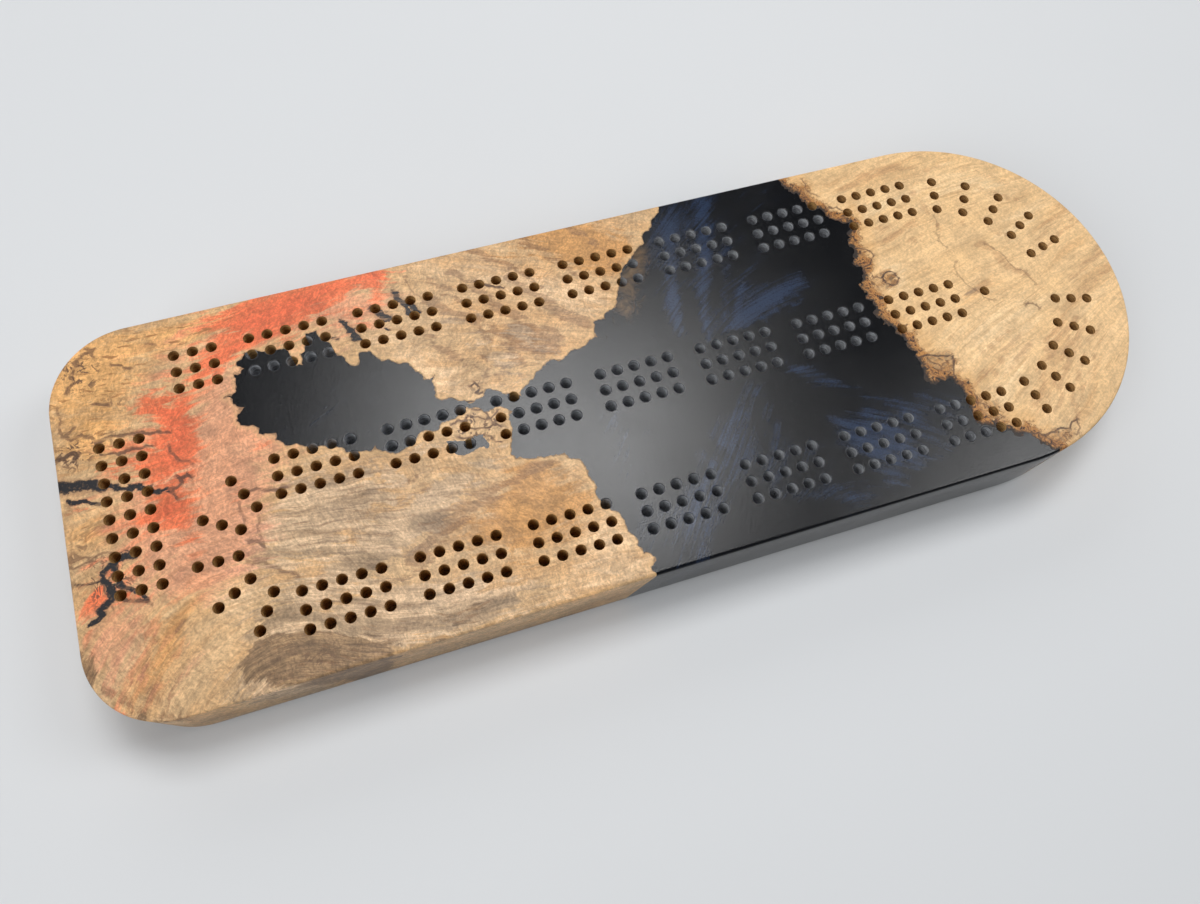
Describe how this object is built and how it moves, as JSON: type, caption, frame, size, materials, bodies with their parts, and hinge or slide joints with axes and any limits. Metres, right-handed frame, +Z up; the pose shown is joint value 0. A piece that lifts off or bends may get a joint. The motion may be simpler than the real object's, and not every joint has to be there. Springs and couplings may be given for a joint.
{
  "type": "cribbage board with drawer",
  "caption": "Long-track cribbage board of burl wood and dark resin, with drilled peg lanes and a slim peg drawer that slides out of its square end.",
  "frame": {"origin": "middle of the board's overall box, on the surface that its feet stand on", "axes": "+X towards the round end, where the lanes turn; +Y towards the far lane, which has the starting block; +Z up. The drawer pulls out along -X."},
  "size_m": [0.325, 0.1134, 0.0255],
  "materials": {
    "burl_left": "spalted, flame-stained burl under a satin oil finish",
    "burl_right": "golden curly burl with a brown bark edge under a satin oil finish",
    "resin": "near-black navy casting resin with blue pearl wisps, sanded to a satin",
    "cover_wood": "plain maple, oiled",
    "drawer_wood": "maple, oiled",
    "drawer_panel": "thin birch plywood, oiled",
    "rack_wood": "walnut, oiled",
    "brass_pin": "plain turned brass",
    "magnet": "bright nickel plating",
    "foot_rubber": "soft black rubber",
    "peg_brass": "polished turned brass",
    "peg_steel": "fine turned stainless steel",
    "peg_blue": "blue anodised turned aluminium"
  },
  "bodies": {
    "case": {"bay_cover": "cover_wood", "bay_magnet": "magnet", "burl_left": "burl_left", "burl_right": "burl_right", "foot_far_round": "foot_rubber", "foot_far_square": "foot_rubber", "foot_near_round": "foot_rubber", "foot_near_square": "foot_rubber", "resin": "resin", "resin_pocket": "resin", "stop_pin": "brass_pin"},
    "drawer": {"drawer_back": "drawer_wood", "drawer_bottom": "drawer_panel", "drawer_front": "drawer_wood", "drawer_magnet": "magnet", "drawer_side_far": "drawer_wood", "drawer_side_near": "drawer_wood", "peg_blue_1": "peg_blue", "peg_blue_2": "peg_blue", "peg_blue_3": "peg_blue", "peg_brass_1": "peg_brass", "peg_brass_2": "peg_brass", "peg_brass_3": "peg_brass", "peg_rack": "rack_wood", "peg_steel_1": "peg_steel", "peg_steel_2": "peg_steel", "peg_steel_3": "peg_steel"}
  },
  "joints": [
    {"name": "drawer_slide", "type": "slide", "parent": "case", "child": "drawer", "axis": [-1, 0, 0], "range_m": [0, 0.09]}
  ]
}
